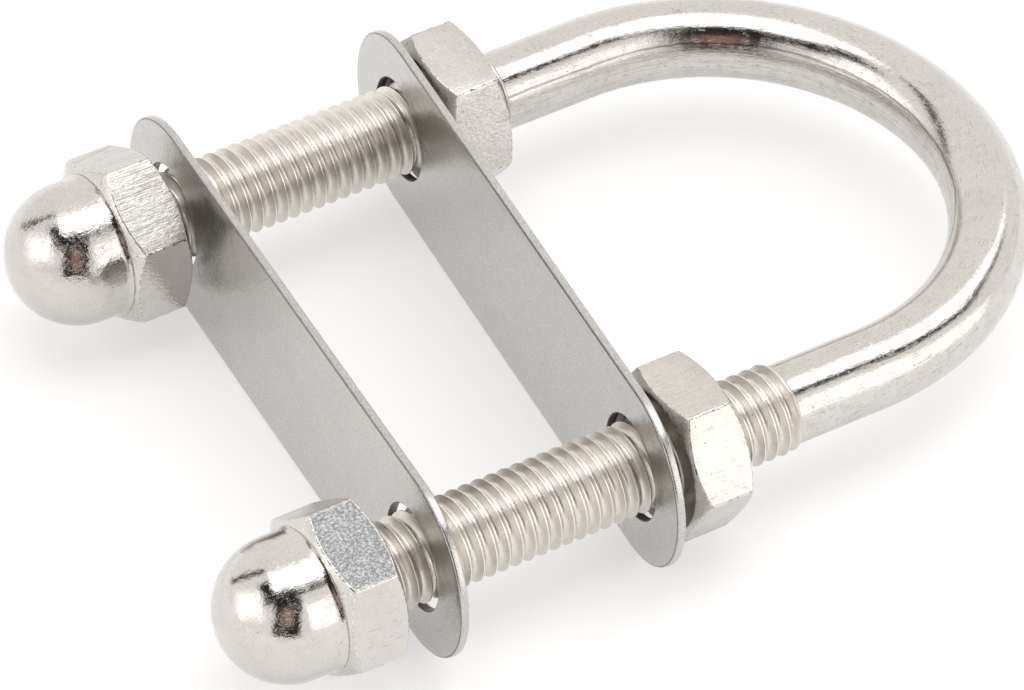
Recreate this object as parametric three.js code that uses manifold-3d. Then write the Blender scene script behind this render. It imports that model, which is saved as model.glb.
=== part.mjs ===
// Pad eye of the U-bolt kind, lying flat: a round rod bent into a U, threaded on both legs,
// with a backing plate, an outer plate, two hexagon nuts and two domed cap nuts.
// Millimetres, +Z up. The legs run along Y, the bend is at +Y and the cap nuts at -Y.

import * as THREE from 'three';
import { mergeVertices } from 'three/addons/utils/BufferGeometryUtils.js';
import Module from 'manifold-3d';

// ---- driving dimensions (mm) ----

const OVERALL_BOLT_LENGTH = 80;     // outside of the bend to the ends of the legs
const LEG_SPACING = 46;             // between the leg axes
const ROD_DIAMETER = 7.1;           // plain rod, as rolled for an M8 thread
const THREAD_DIAMETER = 7.9;        // over the crests
const THREAD_ROOT_DIAMETER = 6.6;
const THREAD_PITCH = 1.25;
const THREAD_CREST_FLAT = 0.22;
const THREAD_ROOT_FLAT = 0.28;
const PLAIN_LEG_LENGTH = 9.5;       // bend tangent to the end of the thread
const LEG_END_CHAMFER = 0.7;

const PLATE_LENGTH = 64;
const PLATE_HEIGHT = 17;
const PLATE_THICKNESS = 0.8;
const PLATE_HOLE_DIAMETER = 9.3;
const PLATE_HOLE_SPACING = 46.25;
const OUTER_PLATE_SKEW = 6.7;       // degrees; the plates sit loose and slightly askew on the legs
const BACKING_PLATE_SKEW = 5;

const NUT_ACROSS_FLATS = 13.6;
const HEX_NUT_HEIGHT = 5.6;
const NUT_CHAMFER_ANGLE = 30;       // degrees
const NUT_FACE_RATIO = 0.95;        // chamfer circle over the width across flats
const CAP_NUT_HEIGHT = 13.9;
const CAP_HEX_HEIGHT = 5.6;
const DOME_DIAMETER = 12.5;
const CAP_BORE_DEPTH = 11.2;        // full thread, before the drill point
const DRILL_POINT_SLOPE = 31;       // degrees from flat
const BORE_MOUTH_CHAMFER = 0.5;

const THREAD_CLEARANCE = 0.3;       // radial, between a nut and the leg
const FLANK_CLEARANCE = 0.05;       // axial widening of the nut's groove

// Stations along the legs, measured from the centre of the bend.
const OUTER_PLATE_STATION = -21.2;  // deck-side face, midway between the legs
const BACKING_PLATE_STATION = -42.3;
const FRONT_HEX_STATION = -21.7;    // plate-side faces of the nuts
const REAR_HEX_STATION = -16.5;
const FRONT_CAP_STATION = -49.4;
const REAR_CAP_STATION = -42.9;

// Turn of each nut about its leg, degrees from straight up to the nearest corner.
const FRONT_HEX_TURN = 27.6;
const REAR_HEX_TURN = 37.7;
const FRONT_CAP_TURN = 47.8;
const REAR_CAP_TURN = 1.6;

// ---- mesh fineness ----

const THREAD_STEPS = 12;
const ROD_SIDES = 20;
const BEND_STEPS = 30;
const ROUND_SEGMENTS = 32;
const DOME_STEPS = 8;

// ---- derived ----

const LEG_X = LEG_SPACING / 2;
const BEND_OUTSIDE = LEG_X + ROD_DIAMETER / 2;
const LEG_END_STATION = BEND_OUTSIDE - OVERALL_BOLT_LENGTH;
const THREAD_END_STATION = -PLAIN_LEG_LENGTH;
const FRONT_CAP_END = FRONT_CAP_STATION - CAP_NUT_HEIGHT;
const BEND_CENTRE_Y = -(BEND_OUTSIDE + FRONT_CAP_END) / 2;
const AXIS_HEIGHT = PLATE_HEIGHT / 2;

const wasm = await Module();
wasm.setup();

// ---- solid helpers ----

/** A closed three.js geometry as a manifold solid. */
function solidFrom(geometry) {
  const plain = geometry.clone();
  plain.deleteAttribute('normal');
  plain.deleteAttribute('uv');
  const welded = mergeVertices(plain, 1e-5);
  const vertProperties = new Float32Array(welded.attributes.position.array);
  const triVerts = new Uint32Array(welded.index.array);
  return new wasm.Manifold(new wasm.Mesh({ numProp: 3, vertProperties, triVerts }));
}

/** A manifold solid as a flat-shaded three.js geometry. */
function geometryFrom(solid) {
  const mesh = solid.getMesh();
  const geometry = new THREE.BufferGeometry();
  geometry.setAttribute('position', new THREE.BufferAttribute(new Float32Array(mesh.vertProperties), 3));
  geometry.setIndex(new THREE.BufferAttribute(new Uint32Array(mesh.triVerts), 1));
  geometry.computeVertexNormals();
  return geometry;
}

/** A body turned about the Y axis from [radius, station] pairs that start and end on the axis. */
function turned(profile, segments = ROUND_SEGMENTS) {
  const points = profile.map(([radius, y]) => new THREE.Vector2(radius, y));
  return solidFrom(new THREE.LatheGeometry(points, segments));
}

// ---- threads ----

/**
 * Threaded bar along Y as a closed solid. One helical strip carries the root flat, the two
 * flanks and the crest flat; the ends close on the axis half a pitch beyond the last turn.
 */
function threadedBar(fromY, toY, rootRadius, crestRadius, crestFlat) {
  const rootFlat = THREAD_ROOT_FLAT - (crestFlat - THREAD_CREST_FLAT);
  const flank = (THREAD_PITCH - crestFlat - rootFlat) / 2;
  const profile = [
    { along: 0, radius: rootRadius },
    { along: rootFlat, radius: rootRadius },
    { along: rootFlat + flank, radius: crestRadius },
    { along: rootFlat + flank + crestFlat, radius: crestRadius },
  ];
  const firstTurn = Math.floor(fromY / THREAD_PITCH) - 2;
  const turns = Math.ceil(toY / THREAD_PITCH) + 2 - firstTurn;
  const start = firstTurn * THREAD_PITCH - rootFlat / 2;
  const lines = profile.length;
  const steps = turns * THREAD_STEPS;
  const positions = [];
  for (let i = 0; i <= steps; i += 1) {
    const angle = (i / THREAD_STEPS) * 2 * Math.PI;
    const advance = (i / THREAD_STEPS) * THREAD_PITCH;
    for (const { along, radius } of profile) {
      positions.push(radius * Math.cos(angle), start + advance + along, -radius * Math.sin(angle));
    }
  }
  const at = (i, k) => (k < lines ? i * lines + k : (i + THREAD_STEPS) * lines);
  const triangles = [];
  const lastStrip = steps - THREAD_STEPS;
  for (let i = 0; i < lastStrip; i += 1) {
    for (let k = 0; k < lines; k += 1) {
      triangles.push(at(i, k), at(i + 1, k), at(i + 1, k + 1));
      triangles.push(at(i, k), at(i + 1, k + 1), at(i, k + 1));
    }
  }
  const closeEnd = (loop, y) => {
    const centre = positions.length / 3;
    positions.push(0, y, 0);
    loop.forEach((vertex, n) => triangles.push(centre, loop[(n + 1) % loop.length], vertex));
  };
  const lower = [];
  const upper = [];
  for (let i = 0; i < THREAD_STEPS; i += 1) {
    lower.push(at(i, 0));
    upper.push(at(lastStrip + THREAD_STEPS - i, 0));
  }
  for (let k = lines; k > 0; k -= 1) {
    lower.push(at(0, k));
    upper.push(at(lastStrip, lines - k));
  }
  closeEnd(lower, start + THREAD_PITCH / 2);
  closeEnd(upper, start + (turns - 0.5) * THREAD_PITCH);
  const geometry = new THREE.BufferGeometry();
  geometry.setAttribute('position', new THREE.Float32BufferAttribute(positions, 3));
  geometry.setIndex(triangles);
  return solidFrom(geometry);
}

/** The space a nut's thread leaves round the leg, for the whole threaded length. */
function threadRoom() {
  return threadedBar(
    FRONT_CAP_END,
    THREAD_END_STATION,
    THREAD_ROOT_DIAMETER / 2 + THREAD_CLEARANCE,
    THREAD_DIAMETER / 2 + THREAD_CLEARANCE,
    THREAD_CREST_FLAT + 2 * FLANK_CLEARANCE,
  );
}

// ---- pieces, each built with its leg axis on Y and the bend centre at station 0 ----

/** Centre line of the plain rod: from one thread end, round the bend, to the other. */
class RodPath extends THREE.Curve {
  getPoint(t, target = new THREE.Vector3()) {
    const straight = PLAIN_LEG_LENGTH + THREAD_PITCH / 2;
    const arc = Math.PI * LEG_X;
    const distance = t * (2 * straight + arc);
    if (distance < straight) {
      return target.set(-LEG_X, distance - straight, 0);
    }
    if (distance > straight + arc) {
      return target.set(LEG_X, straight + arc - distance, 0);
    }
    const angle = (distance - straight) / LEG_X;
    return target.set(-LEG_X * Math.cos(angle), LEG_X * Math.sin(angle), 0);
  }
}

function plainRod() {
  const section = new THREE.Shape();
  section.absarc(0, 0, ROD_DIAMETER / 2, 0, 2 * Math.PI, false);
  return solidFrom(new THREE.ExtrudeGeometry(section, {
    steps: BEND_STEPS,
    curveSegments: ROD_SIDES / 2,
    extrudePath: new RodPath(),
  }));
}

function threadedLeg() {
  const crest = THREAD_DIAMETER / 2 + THREAD_CLEARANCE;
  const nose = THREAD_DIAMETER / 2 - LEG_END_CHAMFER;
  const blank = turned([
    [0, LEG_END_STATION],
    [nose, LEG_END_STATION],
    [crest, LEG_END_STATION + LEG_END_CHAMFER + THREAD_CLEARANCE],
    [crest, THREAD_END_STATION],
    [0, THREAD_END_STATION],
  ]);
  const thread = threadedBar(
    LEG_END_STATION,
    THREAD_END_STATION,
    THREAD_ROOT_DIAMETER / 2,
    THREAD_DIAMETER / 2,
    THREAD_CREST_FLAT,
  );
  return thread.intersect(blank);
}

function uBolt() {
  const leg = threadedLeg();
  return plainRod()
    .add(leg.translate([-LEG_X, 0, 0]))
    .add(leg.translate([LEG_X, 0, 0]));
}

function plate(skew) {
  const end = PLATE_LENGTH / 2 - PLATE_HEIGHT / 2;
  const outline = new THREE.Shape();
  outline.absarc(end, 0, PLATE_HEIGHT / 2, -Math.PI / 2, Math.PI / 2, false);
  outline.absarc(-end, 0, PLATE_HEIGHT / 2, Math.PI / 2, 1.5 * Math.PI, false);
  for (const side of [-1, 1]) {
    const hole = new THREE.Path();
    hole.absarc(side * PLATE_HOLE_SPACING / 2, 0, PLATE_HOLE_DIAMETER / 2, 0, 2 * Math.PI, true);
    outline.holes.push(hole);
  }
  const sheet = new THREE.ExtrudeGeometry(outline, {
    depth: PLATE_THICKNESS,
    curveSegments: ROUND_SEGMENTS / 4,
    bevelEnabled: false,
  });
  sheet.rotateX(Math.PI / 2);
  sheet.translate(0, PLATE_THICKNESS, 0);
  sheet.rotateZ(THREE.MathUtils.degToRad(-skew));
  return sheet;
}

/** Hexagon with chamfered corners, from station 0 up to its height. */
function hexagon(height) {
  const cornerRadius = NUT_ACROSS_FLATS / Math.sqrt(3);
  const faceRadius = NUT_FACE_RATIO * NUT_ACROSS_FLATS / 2;
  const drop = (cornerRadius - faceRadius) * Math.tan(THREE.MathUtils.degToRad(NUT_CHAMFER_ANGLE));
  const outline = new THREE.Shape();
  for (let corner = 0; corner < 6; corner += 1) {
    const angle = corner * Math.PI / 3 + Math.PI / 2;
    const x = cornerRadius * Math.cos(angle);
    const y = cornerRadius * Math.sin(angle);
    if (corner === 0) {
      outline.moveTo(x, y);
    } else {
      outline.lineTo(x, y);
    }
  }
  outline.closePath();
  const prism = new THREE.ExtrudeGeometry(outline, { depth: height, bevelEnabled: false });
  prism.rotateX(Math.PI / 2);
  prism.translate(0, height, 0);
  const reach = 1.1 * cornerRadius;
  const fall = drop * (reach - faceRadius) / (cornerRadius - faceRadius);
  const envelope = turned([
    [0, 0],
    [faceRadius, 0],
    [reach, fall],
    [reach, height - fall],
    [faceRadius, height],
    [0, height],
  ]);
  return solidFrom(prism).intersect(envelope);
}

/** Countersink that opens a nut's bore at the given station, widening along `direction`. */
function mouth(station, direction) {
  const inner = THREAD_DIAMETER / 2 - BORE_MOUTH_CHAMFER;
  const outer = THREAD_DIAMETER / 2 + THREAD_CLEARANCE + BORE_MOUTH_CHAMFER;
  const depth = outer - inner;
  const profile = [
    [0, station - direction * depth],
    [inner, station - direction * depth],
    [outer, station],
    [outer, station + direction],
    [0, station + direction],
  ];
  return turned(direction > 0 ? profile : profile.reverse());
}

function hexNut(station, turn) {
  return hexagon(HEX_NUT_HEIGHT)
    .rotate([0, turn, 0])
    .translate([0, station, 0])
    .subtract(threadRoom())
    .subtract(mouth(station, -1))
    .subtract(mouth(station + HEX_NUT_HEIGHT, 1));
}

/** Domed cap nut: open face at the station, dome pointing towards -Y. */
function capNut(station, turn) {
  const domeRadius = DOME_DIAMETER / 2;
  const domeCentre = station - CAP_NUT_HEIGHT + domeRadius;
  const dome = [[0, domeCentre - domeRadius]];
  for (let step = 1; step <= DOME_STEPS; step += 1) {
    const angle = (step / DOME_STEPS) * Math.PI / 2;
    dome.push([domeRadius * Math.sin(angle), domeCentre - domeRadius * Math.cos(angle)]);
  }
  dome.push([domeRadius, station - CAP_HEX_HEIGHT / 2]);
  dome.push([0, station - CAP_HEX_HEIGHT / 2]);
  const boreEnd = station - CAP_BORE_DEPTH;
  const drillRadius = THREAD_ROOT_DIAMETER / 2;
  const boreLimit = turned([
    [0, boreEnd - drillRadius * Math.tan(THREE.MathUtils.degToRad(DRILL_POINT_SLOPE))],
    [drillRadius, boreEnd],
    [THREAD_DIAMETER, boreEnd],
    [THREAD_DIAMETER, station + 1],
    [0, station + 1],
  ]);
  return hexagon(CAP_HEX_HEIGHT)
    .rotate([0, turn, 0])
    .translate([0, station - CAP_HEX_HEIGHT, 0])
    .add(turned(dome))
    .subtract(threadRoom().intersect(boreLimit))
    .subtract(mouth(station, 1));
}

// ---- finishes ----

const polishedRod = new THREE.MeshStandardMaterial({ color: 0xd6d2cd, roughness: 0.22, metalness: 1 });
const backingSheet = new THREE.MeshStandardMaterial({ color: 0xb3b0ab, roughness: 0.45, metalness: 1 });
const outerSheet = new THREE.MeshStandardMaterial({ color: 0xb0ada8, roughness: 0.45, metalness: 1 });
const hexSteel = { color: 0xc6c2bb, roughness: 0.32, metalness: 1 };
const capSteel = { color: 0xd0ccc7, roughness: 0.24, metalness: 1 };

// ---- assembly ----

const part = new THREE.Group();
part.name = 'pad_eye';

function place(name, geometry, material, x, station) {
  geometry.translate(x, BEND_CENTRE_Y + station, AXIS_HEIGHT);
  const mesh = new THREE.Mesh(geometry, material);
  mesh.name = name;
  part.add(mesh);
}

function placeNut(name, solid, finish, x) {
  place(name, geometryFrom(solid), new THREE.MeshStandardMaterial(finish), x, 0);
}

place('u_bolt', geometryFrom(uBolt()), polishedRod, 0, 0);
place('backing_plate', plate(BACKING_PLATE_SKEW), backingSheet, 0, BACKING_PLATE_STATION - PLATE_THICKNESS);
place('outer_plate', plate(OUTER_PLATE_SKEW), outerSheet, 0, OUTER_PLATE_STATION);
placeNut('hex_nut_front', hexNut(FRONT_HEX_STATION, FRONT_HEX_TURN), hexSteel, LEG_X);
placeNut('hex_nut_rear', hexNut(REAR_HEX_STATION, REAR_HEX_TURN), hexSteel, -LEG_X);
placeNut('cap_nut_front', capNut(FRONT_CAP_STATION, FRONT_CAP_TURN), capSteel, LEG_X);
placeNut('cap_nut_rear', capNut(REAR_CAP_STATION, REAR_CAP_TURN), capSteel, -LEG_X);

export default part;
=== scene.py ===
import math
from types import SimpleNamespace

import bmesh
import bpy
from mathutils import Matrix, Vector


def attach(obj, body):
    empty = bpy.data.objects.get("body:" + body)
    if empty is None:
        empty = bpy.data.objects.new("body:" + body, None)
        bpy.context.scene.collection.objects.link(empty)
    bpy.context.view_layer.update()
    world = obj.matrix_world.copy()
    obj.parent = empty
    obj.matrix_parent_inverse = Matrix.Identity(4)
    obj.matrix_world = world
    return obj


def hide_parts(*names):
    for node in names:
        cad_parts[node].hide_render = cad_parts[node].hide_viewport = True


# The looks of the pad eye: seven fine steel pieces over the CAD frame, their finishes, a pale
# floor and a soft studio. Shapes are written in millimetres and become metres at the vertex.
# Each piece is skinned from columns of points. A column runs once over the piece in a plane
# through its axis, or follows the thread, and the next column lies a small angle further round.
# A station is a place along the legs: 0 at the bend's centre, and negative towards the cap nuts.

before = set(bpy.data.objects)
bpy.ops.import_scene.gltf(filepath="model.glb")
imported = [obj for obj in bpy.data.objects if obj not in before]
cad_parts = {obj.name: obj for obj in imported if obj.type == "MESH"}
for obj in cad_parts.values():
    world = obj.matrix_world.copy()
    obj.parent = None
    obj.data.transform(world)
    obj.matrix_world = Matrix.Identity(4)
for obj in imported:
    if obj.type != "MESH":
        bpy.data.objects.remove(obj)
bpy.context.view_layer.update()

MM = 0.001
TAU = 2 * math.pi

# ---- sizes, the same as the CAD part's ----

LEG_X = 23.0
AXIS_HEIGHT = 8.5
BEND_CENTRE_Y = 18.375
LEG_END = -53.45
THREAD_END = -9.5
ROD_RADIUS = 3.55
THREAD_CREST = 3.95
THREAD_ROOT = 3.3
THREAD_PITCH = 1.25
LEG_END_CHAMFER = 0.7
RUNOUT_LENGTH = 0.55      # the thread fades into the plain rod over this length,
RUNOUT_DEPTH = 0.25       # and this share of its depth is left at the end of it
ROD_SHOULDER = 0.32       # between the end of the thread and the full rod
SHOULDER_RING = 0.5       # one more ring here keeps the shoulder's shading off the rod

PLATE_THICKNESS = 0.8
PLATE_HALF_HEIGHT = 8.5
PLATE_END_CENTRE = 23.5
PLATE_HOLE_X = 23.125
PLATE_HOLE_RADIUS = 4.65
PLATE_RIM_ROUND = 0.24
PLATE_HOLE_ROUND = 0.1
OUTER_PLATE_STATION = -21.2
BACKING_PLATE_STATION = -43.1

NUT_HALF_FLATS = 6.8
NUT_FACE_RADIUS = 6.46
NUT_CORNER_ROUND = 0.32
NUT_EDGE_CUTS = (0.07, 0.11, 0.11, 0.07)     # how far each edge of a nut's outline is rounded
CHAMFER_SLOPE = math.tan(math.radians(30))
HEX_HEIGHT = 5.6
CAP_HEX_HEIGHT = 5.6
CAP_HEIGHT = 13.9
DOME_RADIUS = 6.25
DOME_FILLET = 1.2
DOME_STEP = 0.02          # the foot of the dome starts this far inside the nut's face
DOME_FOOT = 0.1           # and this far above it
CAP_BORE_DEPTH = 11.2
DRILL_POINT_DEPTH = 1.98
BORE_CLEARANCE = 0.3
MOUTH_RADIUS = 4.75
MOUTH_EDGE = 0.02         # the seat starts this far outside the mouth

# ---- fineness of the meshes ----

BOLT_COLUMNS = 64
BEND_RINGS = 120
PLATE_RIM_COLUMNS = 96
PLATE_MID_COLUMNS = 28
PLATE_ROUND_STEPS = 5
HOLE_ROUND_STEPS = 4
FACE_RINGS = 6
FACE_RING_SPREAD = 1.4    # above 1, the rings crowd towards the hole
FLAT_STEPS = 7
CORNER_STEPS = 4
FILLET_STEPS = 6
DOME_RINGS = 26

# ---- finishes ----
# `wear` runs from 0 to 1 over a piece's edges and thread crests; it also sets where they get
# a painted highlight. Each face of a piece also has an amount of each of these finishes.

FINISHES = ("sand", "peel", "drawn")
BORE_WEAR = 0.25
SEAT_EDGE_WEAR = 0.3
EDGE_LINE_WEAR = 0.35     # marks the thin dark line along a plate's edge

# Depth of the thread form over one pitch, from the middle of the root to the crest and back.
THREAD_FORM = (
    (0.0, 0.0), (0.1, 0.03), (0.2, 0.15), (0.3, 0.40), (0.38, 0.68), (0.43, 0.90), (0.455, 0.985),
    (0.5, 1.0), (0.545, 0.985), (0.57, 0.90), (0.62, 0.68), (0.7, 0.40), (0.8, 0.15), (0.9, 0.03),
)


# ---- mesh building ----

def blank():
    """An empty mesh with the layers that the finishes read."""
    bm = bmesh.new()
    bm.verts.layers.float_vector.new("local_mm")
    bm.verts.layers.float.new("wear")
    for finish in FINISHES:
        bm.faces.layers.float.new(finish)
    return bm


def point(x, y, z, wear=0.0, local=None):
    """A point in mm, how much it is worn, which also sets how much painted highlight it gets, and its
    place on the unbent piece.
    """
    return (Vector((x, y, z)), wear, Vector(local) if local else Vector((x, y, z)))


def skin(bm, columns, closed, mark=None):
    """Quads between neighbouring columns. `mark` gives each face its finish and material."""
    place = bm.verts.layers.float_vector["local_mm"]
    wear = bm.verts.layers.float["wear"]
    rows = []
    for column in columns:
        row = []
        for position, rubbed, local in column:
            vertex = bm.verts.new(position * MM)
            vertex[place] = local
            vertex[wear] = rubbed
            row.append(vertex)
        rows.append(row)
    count = len(rows[0])
    for i in range(len(rows) - 1):
        for k in range(count if closed else count - 1):
            following = (k + 1) % count
            corners = (rows[i][k], rows[i + 1][k], rows[i + 1][following], rows[i][following])
            face = bm.faces.new(corners)
            if mark:
                mark(face, i, k)


def finish_mesh(bm, node, body, materials, sharp_degrees=34):
    """Welds the columns, closes the mesh, shades it and hands it to the frame."""
    bmesh.ops.remove_doubles(bm, verts=bm.verts, dist=2e-7)
    bmesh.ops.dissolve_degenerate(bm, edges=bm.edges, dist=1e-8)
    bmesh.ops.recalc_face_normals(bm, faces=bm.faces)
    name = node + "_fine"
    mesh = bpy.data.meshes.new(name)
    bm.to_mesh(mesh)
    bm.free()
    mesh.shade_smooth()
    mesh.set_sharp_from_angle(angle=math.radians(sharp_degrees))
    for material in materials:
        mesh.materials.append(material)
    piece = bpy.data.objects.new(name, mesh)
    bpy.context.scene.collection.objects.link(piece)
    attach(piece, body)
    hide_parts(node)


def round_corner(before, corner, after, cut, steps=4):
    """Points that round a corner of an outline, starting and ending `cut` away from it."""
    before, corner, after = Vector(before), Vector(corner), Vector(after)
    start = corner + (before - corner).normalized() * cut
    end = corner + (after - corner).normalized() * cut
    points = []
    for step in range(steps + 1):
        t = step / steps
        points.append(start * (1 - t) ** 2 + corner * (2 * t * (1 - t)) + end * t * t)
    return points


def smooth(low, high, value):
    """0 below `low`, 1 above `high`, and eased between them."""
    t = min(1.0, max(0.0, (value - low) / (high - low)))
    return t * t * (3 - 2 * t)


# ---- threads ----

def thread_depth(phase):
    """Height of the thread form at a phase of the pitch, 0 at the root and 1 at the crest."""
    phase = phase % 1.0
    form = THREAD_FORM + ((1.0, 0.0),)
    for (p0, d0), (p1, d1) in zip(form, form[1:]):
        if phase <= p1:
            return d0 + (d1 - d0) * (phase - p0) / (p1 - p0)
    return 0.0


def thread_column(angle, low, high, radius_at):
    """(radius, station, depth) along one side of a thread, from `low` to `high`.

    Points past either end are drawn in to it, and finish_mesh welds them there.
    """
    first = math.floor(low / THREAD_PITCH) - 2
    last = math.ceil(high / THREAD_PITCH) + 2
    column = []
    for turn in range(first, last):
        for phase, _ in THREAD_FORM:
            station = (turn + phase + angle / TAU) * THREAD_PITCH
            station = min(high, max(low, station))
            depth = thread_depth(station / THREAD_PITCH - angle / TAU)
            column.append((radius_at(station, depth), station, depth))
    return column


def leg_radius(station, depth):
    """Outside of a leg: the thread, its point chamfer, and the shallow last half turn."""
    runout = smooth(0.0, RUNOUT_LENGTH, THREAD_END - station)
    depth = 1.0 - (1.0 - depth) * (RUNOUT_DEPTH + (1.0 - RUNOUT_DEPTH) * runout)
    radius = THREAD_ROOT + (THREAD_CREST - THREAD_ROOT) * depth
    return min(radius, THREAD_CREST - LEG_END_CHAMFER + station - LEG_END)


def bore_radius(mouths):
    """Inside of a nut: its thread with clearance, opened by a countersink at each mouth."""
    def radius_at(station, depth):
        radius = THREAD_ROOT + BORE_CLEARANCE + (THREAD_CREST - THREAD_ROOT) * depth
        for mouth in mouths:
            radius = max(radius, MOUTH_RADIUS - abs(station - mouth))
        return radius
    return radius_at


# ---- U-bolt ----

def bolt_column(angle):
    """From the rear leg's end, up its thread, round the bend and down to the front leg's end."""
    straight = -THREAD_END
    arc = math.pi * LEG_X
    rod_length = 2 * straight + arc
    tip_y = BEND_CENTRE_Y + LEG_END
    cos_a, sin_a = math.cos(angle), math.sin(angle)

    column = [point(-LEG_X, tip_y, AXIS_HEIGHT, 0, (0, LEG_END, 0))]
    for radius, station, depth in thread_column(angle, LEG_END, THREAD_END, leg_radius):
        x, z = radius * cos_a, -radius * sin_a
        y = BEND_CENTRE_Y + station
        column.append(point(x - LEG_X, y, AXIS_HEIGHT + z, depth, (x, station, z)))

    shoulder = ROD_SHOULDER + SHOULDER_RING
    plain = rod_length - 2 * shoulder
    distances = [ROD_SHOULDER, shoulder]
    distances += [shoulder + plain * i / BEND_RINGS for i in range(1, BEND_RINGS)]
    distances += [rod_length - shoulder, rod_length - ROD_SHOULDER]
    side, up = ROD_RADIUS * cos_a, -ROD_RADIUS * sin_a
    for distance in distances:
        if distance < straight:
            x, y = side - LEG_X, distance - straight
        elif distance > straight + arc:
            x, y = LEG_X - side, straight + arc - distance
        else:
            turn = (distance - straight) / LEG_X
            reach = LEG_X - side
            x, y = -reach * math.cos(turn), reach * math.sin(turn)
        local = (side, THREAD_END + distance, up)
        column.append(point(x, BEND_CENTRE_Y + y, AXIS_HEIGHT + up, 0, local))

    # The front leg's thread is right-handed too, so it is turned and not mirrored.
    angle = math.pi - angle
    cos_a, sin_a = math.cos(angle), math.sin(angle)
    unbent_end = 2 * THREAD_END + rod_length
    for radius, station, depth in reversed(thread_column(angle, LEG_END, THREAD_END, leg_radius)):
        x, z = radius * cos_a, -radius * sin_a
        y = BEND_CENTRE_Y + station
        column.append(point(x + LEG_X, y, AXIS_HEIGHT + z, depth, (x, unbent_end - station, z)))
    column.append(point(LEG_X, tip_y, AXIS_HEIGHT, 0, (0, unbent_end - LEG_END, 0)))
    return column


def build_bolt(rod, thread):
    bm = blank()
    columns = [bolt_column(TAU * i / BOLT_COLUMNS) for i in range(BOLT_COLUMNS + 1)]
    threaded = len(thread_column(0.0, LEG_END, THREAD_END, leg_radius))
    last = len(columns[0]) - 1

    def mark(face, _, k):
        face.material_index = 1 if k <= threaded or k >= last - threaded - 1 else 0

    skin(bm, columns, closed=False, mark=mark)
    finish_mesh(bm, "u_bolt", "bolt", [rod, thread], 40)


# ---- plates ----

def outline_reach(angle, half_height):
    """How far a ray from the hole's centre goes to the plate's outline, and the outline's normal."""
    dx, dz = math.cos(angle), math.sin(angle)
    if abs(dz) > 1e-9:
        reach = half_height / abs(dz)
        if PLATE_HOLE_X + reach * dx <= PLATE_END_CENTRE:
            return reach, (0.0, math.copysign(1.0, dz))
    offset = PLATE_HOLE_X - PLATE_END_CENTRE
    b = offset * dx
    reach = -b + math.sqrt(b * b - offset * offset + half_height * half_height)
    px, pz = offset + reach * dx, reach * dz
    return reach, (px / half_height, pz / half_height)


def quarter_round(radius, steps):
    """(out, in) of points along a quarter round, without its first point."""
    points = []
    for step in range(1, steps + 1):
        turn = step / steps * math.pi / 2
        points.append((radius * math.sin(turn), radius * (1 - math.cos(turn))))
    return points


def hole_wall():
    """(distance from the hole's axis, height) across the hole's wall, with both edges rounded."""
    edge = []
    for out, down in [(0.0, 0.0)] + quarter_round(PLATE_HOLE_ROUND, HOLE_ROUND_STEPS):
        edge.append((PLATE_HOLE_RADIUS + PLATE_HOLE_ROUND - out, down))
    return edge + [(out, PLATE_THICKNESS - down) for out, down in reversed(edge)]


def plate_column(angle, side, skew, y0, rim):
    """One side of the plate round a hole: the hole's wall, both faces, and the rim if it has one."""
    dx, dz = math.cos(angle), math.sin(angle)
    if rim:
        reach, normal = outline_reach(angle, PLATE_HALF_HEIGHT - PLATE_RIM_ROUND)
    else:
        reach = PLATE_HOLE_X / -dx
    start = PLATE_HOLE_RADIUS + PLATE_HOLE_ROUND
    faces = []
    for ring in range(FACE_RINGS + 1):
        distance = start + (reach - start) * (ring / FACE_RINGS) ** FACE_RING_SPREAD
        faces.append((PLATE_HOLE_X + distance * dx, distance * dz))
    places = [(x, 0.0, z, 0.0) for x, z in reversed(faces)]
    places += [(PLATE_HOLE_X + out * dx, w, out * dz, 0.0) for out, w in hole_wall()[1:-1]]
    places += [(x, PLATE_THICKNESS, z, 0.0) for x, z in faces]
    if rim:
        edge_x, edge_z = faces[-1]
        rounding = quarter_round(PLATE_RIM_ROUND, PLATE_ROUND_STEPS)
        for out, down in rounding:
            x, z = edge_x + out * normal[0], edge_z + out * normal[1]
            places.append((x, PLATE_THICKNESS - down, z, 1.0))
        for step, (out, down) in reversed(list(enumerate(rounding))):
            x, z = edge_x + out * normal[0], edge_z + out * normal[1]
            places.append((x, down, z, 1.0 if step > 1 else EDGE_LINE_WEAR))
    cos_s, sin_s = math.cos(math.radians(skew)), math.sin(math.radians(skew))
    column = []
    for x, w, z, rubbed in places:
        x *= side
        y = y0 - x * sin_s + w * cos_s
        column.append(point(x * cos_s + w * sin_s, y, AXIS_HEIGHT + z, rubbed, (z, x, w)))
    return column


def build_plate(node, body, sheet, skew, station):
    """Both halves of a plate. `skew` is its turn about the vertical, in degrees."""
    bm = blank()
    y0 = BEND_CENTRE_Y + station
    split = math.atan2(PLATE_HALF_HEIGHT - PLATE_RIM_ROUND, -PLATE_HOLE_X)
    wall_end = FACE_RINGS + len(hole_wall()) - 1

    def mark(face, _, k):
        # The hole's wall takes the bore steel, darkened with painted shade.
        face.material_index = 1 if FACE_RINGS <= k < wall_end else 0

    for side in (-1, 1):
        rim = []
        for i in range(PLATE_RIM_COLUMNS + 1):
            angle = -split + 2 * split * i / PLATE_RIM_COLUMNS
            rim.append(plate_column(angle, side, skew, y0, True))
        middle = []
        for i in range(PLATE_MID_COLUMNS + 1):
            angle = split + (TAU - 2 * split) * i / PLATE_MID_COLUMNS
            middle.append(plate_column(angle, side, skew, y0, False))
        skin(bm, rim, closed=True, mark=mark)
        skin(bm, middle, closed=False, mark=mark)
    finish_mesh(bm, node, body, [sheet, bore_oil_and_shade])


# ---- nuts ----

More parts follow.
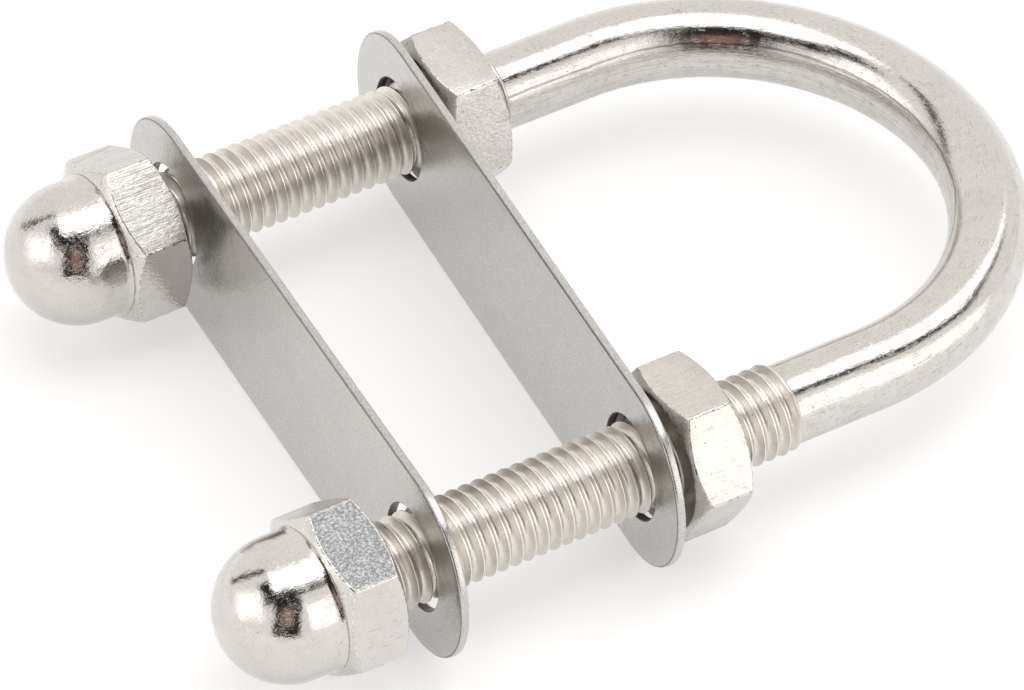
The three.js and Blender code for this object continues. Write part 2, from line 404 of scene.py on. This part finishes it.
def hex_columns():
    """Angles from one corner of the hexagon, the radius there, and the flat each one starts."""
    corner_radius = NUT_HALF_FLATS / math.cos(math.pi / 6)
    centre = corner_radius - NUT_CORNER_ROUND / math.sin(math.pi / 3)
    tangent = math.atan2(NUT_CORNER_ROUND * 0.5, centre + NUT_CORNER_ROUND * math.cos(math.pi / 6))
    columns = []
    for corner in range(6):
        middle = corner * math.pi / 3
        for step in range(CORNER_STEPS + 1):
            delta = tangent * (2 * step / CORNER_STEPS - 1)
            reach = centre * math.sin(delta)
            radius = centre * math.cos(delta) + math.sqrt(NUT_CORNER_ROUND ** 2 - reach * reach)
            wear = 1.0 - 0.5 * abs(delta) / tangent
            columns.append((middle + delta, radius, corner if step == CORNER_STEPS else None, wear))
        span = math.pi / 3 - 2 * tangent
        for step in range(1, FLAT_STEPS):
            delta = tangent + span * step / FLAT_STEPS
            radius = NUT_HALF_FLATS / math.cos(math.pi / 6 - delta)
            columns.append((middle + delta, radius, corner, 0.0))
    angle, radius, flat, wear = columns[0]
    columns.append((angle + TAU, radius, flat, wear))
    return columns


def hex_outline(radius, height, wear):
    """Outside of the hexagon in one column: (radius, height, wear, starts the flat)."""
    fall = (radius - NUT_FACE_RADIUS) * CHAMFER_SLOPE
    outline = [
        (MOUTH_RADIUS, 0.0), (NUT_FACE_RADIUS, 0.0), (radius, fall),
        (radius, height - fall), (NUT_FACE_RADIUS, height), (MOUTH_RADIUS, height),
    ]
    mouth, seat = MOUTH_RADIUS + MOUTH_EDGE, (MOUTH_RADIUS + NUT_FACE_RADIUS) / 2
    points = [(mouth, 0.0, SEAT_EDGE_WEAR, False), (seat, 0.0, 0.0, False)]
    for k, cut in enumerate(NUT_EDGE_CUTS):
        rounded = round_corner(outline[k], outline[k + 1], outline[k + 2], cut)
        last = len(rounded) - 1
        for n, (r, y) in enumerate(rounded):
            middle = 1 - abs(n / last - 0.5) * 1.2
            points.append((r, y, max(wear, middle), k == 1 and n == last))
    points += [(seat, height, 0.0, False), (mouth, height, SEAT_EDGE_WEAR, False)]
    return points


def nut_point(leg_x, angle, radius, station, wear):
    x, z = radius * math.cos(angle), -radius * math.sin(angle)
    return point(x + leg_x, BEND_CENTRE_Y + station, AXIS_HEIGHT + z, wear, (x, station, z))


def flat_marker(bm, flats, on_flat, finishes, bore, seat=0):
    """Gives the faces of each flat of a nut their finish, the bore its oily steel darkened with painted
    shade, and the seat its painted shade.

    The bore's faces start at `bore` in each column, and the first `seat` faces are the seat.
    """
    layers = {name: bm.faces.layers.float[name] for name in FINISHES}

    def mark(face, i, k):
        if k >= bore:
            face.material_index = 1
        if k < seat:
            face.material_index = 2
        if flats[i] is None or not on_flat[k]:
            return
        for name, amount in finishes[flats[i]].items():
            face[layers[name]] = amount
    return mark


def build_hex_nut(node, body, nut_steel, leg_x, station, turn, finishes):
    bm = blank()
    start = math.radians(turn) - math.pi / 2
    radius_at = bore_radius((station, station + HEX_HEIGHT))
    columns, flats = [], []
    for angle, radius, flat, wear in hex_columns():
        angle += start
        outline = hex_outline(radius, HEX_HEIGHT, wear)
        column = [nut_point(leg_x, angle, r, station + y, w) for r, y, w, _ in outline]
        bore = thread_column(angle, station, station + HEX_HEIGHT, radius_at)
        column += [nut_point(leg_x, angle, r, y, BORE_WEAR) for r, y, _ in reversed(bore)]
        columns.append(column)
        flats.append(flat)
    on_flat = [starts_flat for _, _, _, starts_flat in outline] + [False] * len(bore)
    # The first three faces, the seat round the mouth, take the painted shade.
    mark = flat_marker(bm, flats, on_flat, finishes, bore=len(outline) - 1, seat=3)
    skin(bm, columns, closed=True, mark=mark)
    finish_mesh(bm, node, body, [nut_steel, bore_oil_and_shade, seat_painted_shade])


def cap_profile(radius, wear):
    """Outside of a cap nut in one column, from its mouth to the dome's tip, down from its seat."""
    profile = hex_outline(radius, CAP_HEX_HEIGHT, wear)[:-2]
    first = math.asin(1 - (NUT_FACE_RADIUS - DOME_RADIUS - DOME_STEP) / DOME_FILLET)
    for step in range(FILLET_STEPS + 1):
        sweep = first + (math.pi / 2 - first) * step / FILLET_STEPS
        r = DOME_RADIUS + DOME_FILLET * (1 - math.sin(sweep))
        y = CAP_HEX_HEIGHT + DOME_FOOT + DOME_FILLET * (math.cos(first) - math.cos(sweep))
        profile.append((r, y, 0.0, False))
    centre = CAP_HEIGHT - DOME_RADIUS
    for ring in range(DOME_RINGS + 1):
        lean = ring / DOME_RINGS * math.pi / 2
        r, y = DOME_RADIUS * math.cos(lean), centre + DOME_RADIUS * math.sin(lean)
        profile.append((r, y, 0.0, False))
    return profile


def build_cap_nut(node, body, nut_steel, leg_x, station, turn, finishes):
    bm = blank()
    start = math.radians(turn) - math.pi / 2
    bore_end = station - CAP_BORE_DEPTH
    radius_at = bore_radius((station,))
    columns, flats = [], []
    for angle, radius, flat, wear in hex_columns():
        angle += start
        profile = cap_profile(radius, wear)
        column = [nut_point(leg_x, angle, r, station - y, w) for r, y, w, _ in reversed(profile)]
        bore = thread_column(angle, bore_end, station, radius_at)
        column += [nut_point(leg_x, angle, r, y, BORE_WEAR) for r, y, _ in reversed(bore)]
        column.append(nut_point(leg_x, angle, THREAD_ROOT, bore_end, 0.0))
        column.append(nut_point(leg_x, angle, 0.0, bore_end - DRILL_POINT_DEPTH, 0.0))
        columns.append(column)
        flats.append(flat)
    # The column runs from the dome's tip, so the flat lies before the point that starts it.
    on_flat = [starts_flat for _, _, _, starts_flat in reversed(profile)][1:]
    on_flat += [False] * (len(column) - len(on_flat))
    mark = flat_marker(bm, flats, on_flat, finishes, bore=len(profile) - 1)
    skin(bm, columns, closed=False, mark=mark)
    finish_mesh(bm, node, body, [nut_steel, bore_oil_and_shade])


# ---- node trees ----

class Tree:
    """Short ways to add shader nodes, with sockets or plain values as inputs."""

    def __init__(self, owner):
        owner.use_nodes = True
        self.tree = owner.node_tree
        self.tree.nodes.clear()

    def add(self, kind, inputs=(), **settings):
        node = self.tree.nodes.new(kind)
        for key, value in settings.items():
            setattr(node, key, value)
        for socket, value in dict(inputs).items():
            if isinstance(value, bpy.types.NodeSocket):
                self.tree.links.new(value, node.inputs[socket])
            else:
                node.inputs[socket].default_value = value
        return node

    def math(self, operation, a, b=0.0, clamp=False):
        return self.add("ShaderNodeMath", {0: a, 1: b}, operation=operation, use_clamp=clamp).outputs[0]

    def times(self, a, b):
        return self.math("MULTIPLY", a, b)

    def plus(self, a, b):
        return self.math("ADD", a, b)

    def vector(self, operation, a, b=(0, 0, 0)):
        node = self.add("ShaderNodeVectorMath", {0: a, 1: b}, operation=operation)
        return node.outputs["Value"] if operation == "DOT_PRODUCT" else node.outputs["Vector"]

    def attribute(self, name, output="Fac"):
        return self.add("ShaderNodeAttribute", attribute_name=name).outputs[output]

    def noise(self, coords, scale, detail=3.0, roughness=0.55, distortion=0.0):
        """Noise round 0.5. On the steel, `scale` is in patches per mm."""
        inputs = {
            "Vector": coords, "Scale": scale, "Detail": detail,
            "Roughness": roughness, "Distortion": distortion,
        }
        return self.add("ShaderNodeTexNoise", inputs).outputs["Fac"]

    def stretch(self, coords, scale, rotation=(0, 0, 0)):
        inputs = {"Vector": coords, "Scale": scale, "Rotation": rotation}
        return self.add("ShaderNodeMapping", inputs).outputs["Vector"]

    def band(self, value, low, high, from_value=0.0, to_value=1.0):
        """`value` eased from one number to another between `low` and `high`."""
        inputs = {"Value": value, 1: low, 2: high, 3: from_value, 4: to_value}
        node = self.add("ShaderNodeMapRange", inputs, interpolation_type="SMOOTHSTEP", clamp=True)
        return node.outputs["Result"]

    def mix(self, factor, a, b):
        node = self.tree.nodes.new("ShaderNodeMix")
        node.data_type = "RGBA"
        for socket, value in ((node.inputs[0], factor), (node.inputs[6], a), (node.inputs[7], b)):
            if isinstance(value, bpy.types.NodeSocket):
                self.tree.links.new(value, socket)
            else:
                socket.default_value = value
        return node.outputs[2]


def rgb(red, green, blue, by=1.0):
    return (red * by, green * by, blue * by, 1.0)


# ---- steel ----

# Dark colour of pits, scratches and draw lines, and also of the painted dark reflection line inside the
# bend.
DIRT_AND_DARK_REFLECTION = rgb(0.16, 0.14, 0.12)
GOUGED = rgb(0.22, 0.20, 0.18)
DIMPLED = rgb(0.36, 0.34, 0.32)
SAND_LOW = rgb(0.23, 0.24, 0.245)
SAND_HIGH = rgb(0.63, 0.63, 0.63)
# The bright colour of worn edges and thread crests: partly wear, partly a painted highlight.
RUBBED_AND_HIGHLIGHT = rgb(0.84, 0.82, 0.79)
# Dark colour in the nicks: painted shade in the dents.
NICK_PAINTED_SHADE = rgb(0.20, 0.18, 0.16)
EDGE_DARK = rgb(0.17, 0.15, 0.13)


def steel_patterns(t, seed, rub_and_highlight_from, rub_and_highlight_strength, nick_and_shade_amount, inside_lines, edge_line):
    """What a steel's colour, roughness and relief are all made of, laid out on the unbent piece."""
    local = t.attribute("local_mm", "Vector")
    place = t.vector("ADD", local, (seed, seed * 1.7, -seed))
    p = SimpleNamespace()
    p.sand, p.peel, p.drawn = (t.attribute(finish) for finish in FINISHES)

    # Tone and grain.
    p.cloud = t.noise(place, 0.22, 4.0, 0.6)
    p.fine = t.noise(t.stretch(place, (1.0, 0.55, 1.0)), 7.0, 2.0, 0.6)
    p.mottle = t.noise(t.stretch(place, (1.0, 0.6, 1.0)), 3.4, 2.0, 0.6)
    p.lines = t.noise(t.stretch(place, (6.5, 0.16, 6.5)), 1.0, 4.0, 0.7)

    # Scratches come in patches, along the piece and across it. Pits sit in a few Voronoi cells.
    patches = t.band(t.noise(place, 0.9, 3.0, 0.6), 0.47, 0.57)
    along = t.noise(t.stretch(place, (22.0, 0.5, 22.0), (0, 0, 0.25)), 1.0, 2.0, 0.5, 0.3)
    cross = t.noise(t.stretch(place, (1.4, 19.0, 17.0), (0.5, 0.9, 0.7)), 1.0, 2.0, 0.5, 0.4)
    either = t.math("MAXIMUM", t.band(along, 0.62, 0.68), t.band(cross, 0.63, 0.69))
    p.scratches = t.times(either, patches)
    cells = t.add("ShaderNodeTexVoronoi", {"Vector": place, "Scale": 1.35, "Randomness": 1.0})
    chosen = t.band(t.vector("DOT_PRODUCT", cells.outputs["Color"], (1, 0, 0)), 0.80, 0.84)
    p.pits = t.times(t.band(cells.outputs["Distance"], 0.05, 0.11, 1.0, 0.0), chosen)

    # The finishes of the nuts' flats.
    p.coarse = t.times(t.noise(place, 5.6, 4.0, 0.75), p.sand)
    speckle = t.noise(t.stretch(place, (1.0, 0.7, 1.0)), 5.6, 3.0, 0.8)
    p.speckle = t.band(speckle, 0.40, 0.66)
    bumps = t.noise(t.stretch(place, (1.0, 0.8, 1.0)), 4.6, 2.0, 0.6, 0.4)
    p.bumps = t.times(bumps, p.peel)
    p.dimples = t.times(t.times(t.band(bumps, 0.48, 0.60), p.peel), 0.30)
    p.marks = t.times(t.noise(t.stretch(place, (9.0, 0.16, 9.0)), 1.0, 4.0, 0.75), p.drawn)
    gouges = t.noise(t.stretch(place, (11.0, 0.22, 11.0)), 1.0, 3.0, 0.7)
    p.gouges = t.times(t.times(t.band(gouges, 0.54, 0.62), p.drawn), 0.5)

    # Edges: worn and painted bright as a painted highlight, nicked with painted shade in the nicks, or
    # with a thin dark line.
    wear = t.attribute("wear")
    # Worn edges and crests are coloured bright: wear, and a painted highlight along them.
    p.rubbed = t.times(t.band(wear, rub_and_highlight_from, 1.0), rub_and_highlight_strength)
    # Nicks dent the edges, and their dark colour is painted shade in them.
    p.nicks = t.times(t.band(p.mottle, 0.50, 0.57), t.band(wear, 0.5, 0.9, 0.0, nick_and_shade_amount))
    p.edge_line = t.times(t.band(wear, 0.08, 0.22), t.band(wear, 0.45, 0.75, edge_line, 0.0))
    p.edge_mottle = t.times(p.mottle, t.band(wear, 0.0, 1.0, 1.0, nick_and_shade_amount))

    # The inside of the bend: deep draw lines, and a thin line of painted dark reflection that ends them
    # at the top.
    inward = t.vector("DOT_PRODUCT", local, (1, 0, 0))
    upward = t.vector("DOT_PRODUCT", local, (0, 0, 1))
    inside = t.band(inward, 2.2, 3.1, 0.0, inside_lines)
    p.inside_relief = t.times(p.lines, inside)
    p.inside_lines = t.times(t.band(p.lines, 0.47, 0.62), inside)
    # Painted reflection: a thin dark line along the upper inside of the bend.
    wander = t.plus(inward, t.times(p.cloud, 0.25))
    seam = t.times(t.band(wander, 3.06, 3.13), t.band(wander, 3.15, 3.24, 0.7 * inside_lines, 0.0))
    p.seam = t.times(seam, t.band(upward, 0.2, 0.6))
    return p


def steel_colour(t, p, colour, dark, fleck, scuffs):
    tone = t.plus(t.times(p.cloud, 1.0 - fleck), t.times(p.fine, fleck))
    shade = t.mix(t.band(tone, 0.30, 0.70), dark, colour)
    dirt_and_dark_reflection = t.times(p.pits, 0.75 * scuffs)
    dirt_and_dark_reflection = t.math("ADD", dirt_and_dark_reflection, t.times(p.scratches, 0.30 * scuffs), clamp=True)
    dirt_and_dark_reflection = t.math("MAXIMUM", dirt_and_dark_reflection, t.times(p.inside_lines, 0.22))
    # The line inside the bend is a painted dark reflection, mixed in with the dirt colour.
    dirt_and_dark_reflection = t.math("MAXIMUM", dirt_and_dark_reflection, p.seam)
    layers = (
        (dirt_and_dark_reflection, DIRT_AND_DARK_REFLECTION), (p.gouges, GOUGED), (p.dimples, DIMPLED),
        (p.sand, t.mix(p.speckle, SAND_LOW, SAND_HIGH)),
        (p.rubbed, RUBBED_AND_HIGHLIGHT), (t.times(p.nicks, 0.70), NICK_PAINTED_SHADE), (p.edge_line, EDGE_DARK),
    )
    for share, layer in layers:
        shade = t.mix(share, shade, layer)
    return shade


def steel_roughness(t, p, roughness, lines):
    rough = t.plus(t.times(p.cloud, 0.10), roughness - 0.05)
    rough = t.plus(rough, t.times(t.math("SUBTRACT", p.lines, 0.5), 0.25 * lines))
    shares = ((p.scratches, 0.18), (p.peel, 0.10), (p.drawn, 0.12), (p.sand, 0.30), (p.rubbed, -0.12))
    for pattern, amount in shares:
        rough = t.plus(rough, t.times(pattern, amount))
    return t.math("MAXIMUM", t.math("MINIMUM", rough, 1.0), 0.06)


def steel_relief(t, p, grain, lines, scuffs):
    """A bump made of every pattern times its height, in hundredths of a millimetre."""
    heights = (
        (p.fine, grain), (p.edge_mottle, 2.4 * grain), (p.nicks, -2.0), (p.lines, lines),
        (p.scratches, -0.5 * scuffs), (p.pits, -1.6), (p.inside_relief, 1.6),
        (p.coarse, 6.5), (p.bumps, 9.0), (p.marks, 1.5), (p.gouges, -2.0),
    )
    relief = 0.0
    for pattern, height in heights:
        relief = t.plus(relief, t.times(pattern, height))
    return t.add("ShaderNodeBump", {"Height": relief, "Strength": 1.0, "Distance": 0.01 * MM})


def steel(name, colour, dark, seed, roughness, grain, lines, scuffs=1.0, fleck=0.55,
          rub_and_highlight_from=0.55, rub_and_highlight_strength=0.6, nick_and_shade_amount=0.0, inside_lines=0.0, edge_line=0.0):
    """Bare steel between two colours.

    `fleck` is the share of fine grain in its tone, and the rest is broad cloud. `grain` and
    `lines` are the heights of its grain and drawn lines, and `scuffs` the strength of its
    scratches and pits. Edges are painted bright, partly as wear and partly as a painted highlight,
    from a wear of `rub_and_highlight_from` on.
    """
    material = bpy.data.materials.new(name)
    t = Tree(material)
    p = steel_patterns(t, seed, rub_and_highlight_from, rub_and_highlight_strength, nick_and_shade_amount, inside_lines, edge_line)
    shader = t.add("ShaderNodeBsdfPrincipled", {
        "Base Color": steel_colour(t, p, colour, dark, fleck, scuffs),
        "Roughness": steel_roughness(t, p, roughness, lines),
        "Normal": steel_relief(t, p, grain, lines, scuffs).outputs["Normal"],
        "Metallic": 1.0,
    })
    t.add("ShaderNodeOutputMaterial", {"Surface": shader.outputs[0]})
    return material


# ---- the pieces ----

rod_steel = steel(
    "rod_steel", rgb(0.675, 0.65, 0.625), rgb(0.59, 0.565, 0.54), seed=3.0,
    roughness=0.11, grain=0.5, lines=0.5, scuffs=2.2, inside_lines=1.0,
)
thread_steel = steel(
    "thread_steel", rgb(0.79, 0.755, 0.71), rgb(0.68, 0.645, 0.60), seed=11.0,
    roughness=0.33, grain=0.8, lines=0.2, rub_and_highlight_from=0.95,
)
outer_sheet = steel(
    "outer_sheet", rgb(0.62, 0.61, 0.595), rgb(0.49, 0.48, 0.465), seed=23.0,
    roughness=0.25, grain=1.2, lines=0.4, scuffs=0.4, fleck=0.85, rub_and_highlight_strength=0.0, edge_line=0.75,
)
backing_sheet = steel(
    "backing_sheet", rgb(0.61, 0.595, 0.575), rgb(0.47, 0.455, 0.44), seed=37.0,
    roughness=0.24, grain=1.2, lines=0.4, scuffs=0.4, fleck=0.85, rub_and_highlight_strength=0.0, edge_line=0.75,
)
front_hex_steel = steel(
    "front_hex_steel", rgb(0.67, 0.64, 0.61), rgb(0.57, 0.545, 0.515), seed=41.0,
    roughness=0.19, grain=0.8, lines=0.5, fleck=0.25, nick_and_shade_amount=1.0,
)
rear_hex_steel = steel(
    "rear_hex_steel", rgb(0.665, 0.64, 0.615), rgb(0.57, 0.545, 0.52), seed=53.0,
    roughness=0.20, grain=0.8, lines=0.5, fleck=0.25, nick_and_shade_amount=1.0,
)
front_cap_steel = steel(
    "front_cap_steel", rgb(0.67, 0.645, 0.62), rgb(0.60, 0.575, 0.55), seed=67.0,
    roughness=0.09, grain=0.55, lines=0.2, nick_and_shade_amount=0.6,
)
rear_cap_steel = steel(
    "rear_cap_steel", rgb(0.66, 0.635, 0.61), rgb(0.58, 0.555, 0.53), seed=79.0,
    roughness=0.09, grain=1.0, lines=0.2, nick_and_shade_amount=1.0,
)
# Painted shade: the ring of seat round each hex nut's mouth is coloured near black for the shade that
# falls between nut and plate.
seat_painted_shade = steel(
    "seat_painted_shade", rgb(0.30, 0.27, 0.24), rgb(0.20, 0.18, 0.16), seed=97.0,
    roughness=0.30, grain=1.0, lines=0.4,
)
# The bores and the plates' hole walls are near black: oily steel, darkened further as painted shade for
# the shade inside the holes.
bore_oil_and_shade = steel(
    "bore_oil_and_shade", rgb(0.16, 0.145, 0.13), rgb(0.10, 0.09, 0.08), seed=91.0,
    roughness=0.38, grain=0.8, lines=0.2,
)

# A nut's `turn` is the angle of its first corner in degrees, and its flats follow in order.
SMOOTH, PEEL, SAND = {}, {"peel": 1.0}, {"sand": 1.0}
DRAWN, FAINT = {"drawn": 1.0}, {"drawn": 0.35}

build_bolt(rod_steel, thread_steel)
build_plate("outer_plate", "outer", outer_sheet, skew=6.7, station=OUTER_PLATE_STATION)
build_plate("backing_plate", "backing", backing_sheet, skew=5.0, station=BACKING_PLATE_STATION)
build_hex_nut(
    "hex_nut_front", "front_hex", front_hex_steel, LEG_X, station=-21.7, turn=27.6,
    finishes=(SMOOTH, FAINT, PEEL, FAINT, SMOOTH, FAINT),
)
build_hex_nut(
    "hex_nut_rear", "rear_hex", rear_hex_steel, -LEG_X, station=-16.5, turn=37.7,
    finishes=(PEEL, FAINT, SMOOTH, FAINT, DRAWN, SMOOTH),
)
build_cap_nut(
    "cap_nut_front", "front_cap", front_cap_steel, LEG_X, station=-49.4, turn=47.8,
    finishes=(SMOOTH, FAINT, PEEL, FAINT, FAINT, SAND),
)
build_cap_nut(
    "cap_nut_rear", "rear_cap", rear_cap_steel, -LEG_X, station=-42.9, turn=1.6,
    finishes=(DRAWN, SMOOTH, FAINT, PEEL, SMOOTH, DRAWN),
)


# ---- floor ----

FLOOR_REACH = 6.0
FLOOR_RINGS = 24
FLOOR_SIDES = 96
FLOOR_DROP = 0.0001       # keeps the floor just clear of the plates' lower edges


def build_floor():
    """A round sheet of pale paper, lit a little from behind so that it stays white under the part."""
    bm = bmesh.new()
    centre = bm.verts.new((0, 0, 0))
    previous = None
    for ring in range(1, FLOOR_RINGS + 1):
        radius = FLOOR_REACH * (ring / FLOOR_RINGS) ** 2
        loop = []
        for i in range(FLOOR_SIDES):
            angle = TAU * i / FLOOR_SIDES
            loop.append(bm.verts.new((radius * math.cos(angle), radius * math.sin(angle), 0)))
        for i in range(FLOOR_SIDES):
            following = (i + 1) % FLOOR_SIDES
            if previous is None:
                bm.faces.new((centre, loop[i], loop[following]))
            else:
                bm.faces.new((previous[i], loop[i], loop[following], previous[following]))
        previous = loop
    mesh = bpy.data.meshes.new("floor")
    bm.to_mesh(mesh)
    bm.free()
    floor = bpy.data.objects.new("floor", mesh)
    bpy.context.scene.collection.objects.link(floor)
    material = bpy.data.materials.new("pale_paper")
    t = Tree(material)
    coords = t.add("ShaderNodeTexCoord").outputs["Object"]
    fibre = t.noise(coords, 900.0, 3.0, 0.6)
    tone = t.mix(t.noise(coords, 6.0, 2.0), rgb(0.51, 0.51, 0.51), rgb(0.53, 0.53, 0.53))
    bump = t.add("ShaderNodeBump", {"Height": fibre, "Strength": 0.2, "Distance": 0.02 * MM})
    shader = t.add("ShaderNodeBsdfPrincipled", {
        "Base Color": tone, "Roughness": 0.85, "Normal": bump.outputs["Normal"],
        "Emission Color": rgb(1.0, 0.995, 0.99), "Emission Strength": 0.525,
    })
    t.add("ShaderNodeOutputMaterial", {"Surface": shader.outputs[0]})
    mesh.materials.append(material)
    floor.location.z = -FLOOR_DROP


build_floor()

# ---- camera ----
# Fitted to the photograph together with the sizes. The azimuth is measured from -Y towards +X.

CAMERA_AZIMUTH = math.radians(56.463)
CAMERA_ELEVATION = math.radians(42.684)
CAMERA_ROLL = math.radians(2.411)
CAMERA_DISTANCE = 0.67174
CAMERA_LENS = 280.41
CAMERA_TARGET = Vector((0.005377, -0.006190, 0.0085))

camera_back = Vector((
    math.sin(CAMERA_AZIMUTH) * math.cos(CAMERA_ELEVATION),
    -math.cos(CAMERA_AZIMUTH) * math.cos(CAMERA_ELEVATION),
    math.sin(CAMERA_ELEVATION),
))
level_right = Vector((math.cos(CAMERA_AZIMUTH), math.sin(CAMERA_AZIMUTH), 0))
level_up = camera_back.cross(level_right)
camera_right = level_right * math.cos(CAMERA_ROLL) + level_up * math.sin(CAMERA_ROLL)
camera_up = camera_back.cross(camera_right)


def build_camera():
    data = bpy.data.cameras.new("camera")
    data.lens = CAMERA_LENS
    data.sensor_width = 36.0
    data.clip_start = 0.05
    data.clip_end = 20.0
    camera = bpy.data.objects.new("camera", data)
    bpy.context.scene.collection.objects.link(camera)
    turn = Matrix((camera_right, camera_up, camera_back)).transposed().to_4x4()
    camera.matrix_world = Matrix.Translation(CAMERA_TARGET + camera_back * CAMERA_DISTANCE) @ turn
    bpy.context.scene.camera = camera


build_camera()

# ---- studio ----
# A tent of white cloth with a dark gap, a few soft boxes and whoever took the picture. It is laid
# out as a mirror ball standing on the floor would show it from the camera's side: `across` and
# `up` run from -1 to 1 over the ball, and later panels cover earlier ones.

TENT = rgb(1.0, 0.975, 0.955, 1.06)
GAP = rgb(0.03, 0.028, 0.026)
FIGURE = rgb(0.40, 0.27, 0.22)
TOP_BOX = rgb(1.0, 1.0, 1.0, 2.1)
RIGHT_BOX = rgb(1.0, 0.99, 0.97, 1.75)
LEFT_BOX = rgb(1.0, 0.985, 0.96, 1.9)
PANELS = (
    # across, up, half width, half height, tilt in degrees, edge softness, colour
    (0.08, 0.318, 0.46, 0.160, 21, 0.035, GAP),
    (-0.52, 0.40, 0.26, 0.05, 22, 0.04, GAP),
    (0.02, -0.13, 0.20, 0.33, 0, 0.05, GAP),
    (0.03, -0.10, 0.12, 0.17, 0, 0.09, FIGURE),
    (0.09, 0.440, 0.355, 0.150, 20, 0.03, TOP_BOX),
    (0.53, -0.01, 0.27, 0.205, 20, 0.045, RIGHT_BOX),
    (-0.48, 0.02, 0.24, 0.24, 6, 0.14, LEFT_BOX),
)
RIPPLE = 0.06             # how far the panels' edges wander


def build_world():
    """The tent as a world: every direction is turned into its place on the mirror ball."""
    world = bpy.data.worlds.new("studio")
    bpy.context.scene.world = world
    t = Tree(world)
    direction = t.add("ShaderNodeTexCoord").outputs["Generated"]
    half = t.vector("NORMALIZE", t.vector("ADD", direction, tuple(camera_back)))
    across = t.vector("DOT_PRODUCT", half, tuple(level_right))
    up = t.vector("DOT_PRODUCT", half, tuple(level_up))
    ripple = t.times(t.math("SUBTRACT", t.noise(half, 9.0, 3.0, 0.6), 0.5), RIPPLE)
    across = t.plus(across, ripple)
    up = t.plus(up, ripple)
    colour = TENT
    for x, y, half_width, half_height, tilt, softness, panel in PANELS:
        cos_t, sin_t = math.cos(math.radians(tilt)), math.sin(math.radians(tilt))
        dx = t.math("SUBTRACT", across, x)
        dy = t.math("SUBTRACT", up, y)
        along = t.plus(t.times(dx, cos_t), t.times(dy, sin_t))
        over = t.math("SUBTRACT", t.times(dy, cos_t), t.times(dx, sin_t))
        in_width = t.band(t.math("ABSOLUTE", along), half_width - softness, half_width, 1.0, 0.0)
        in_height = t.band(t.math("ABSOLUTE", over), half_height - softness, half_height, 1.0, 0.0)
        colour = t.mix(t.times(in_width, in_height), colour, panel)
    background = t.add("ShaderNodeBackground", {"Color": colour, "Strength": 1.0})
    t.add("ShaderNodeOutputWorld", {"Surface": background.outputs[0]})


def build_light():
    """A wide, weak panel overhead that lifts the floor to white."""
    data = bpy.data.lights.new("overhead_panel", "AREA")
    data.shape = "RECTANGLE"
    data.size = 0.9
    data.size_y = 0.7
    data.energy = 1.5
    light = bpy.data.objects.new("overhead_panel", data)
    bpy.context.scene.collection.objects.link(light)
    light.location = (0.1, 0.25, 1.3)
    aim = Vector((0, 0, 0)) - light.location
    light.rotation_mode = "QUATERNION"
    light.rotation_quaternion = aim.to_track_quat("-Z", "Y")


build_world()
build_light()
bpy.context.scene.view_settings.view_transform = "Standard"
bpy.context.scene.view_settings.look = "None"

bpy.context.view_layer.update()
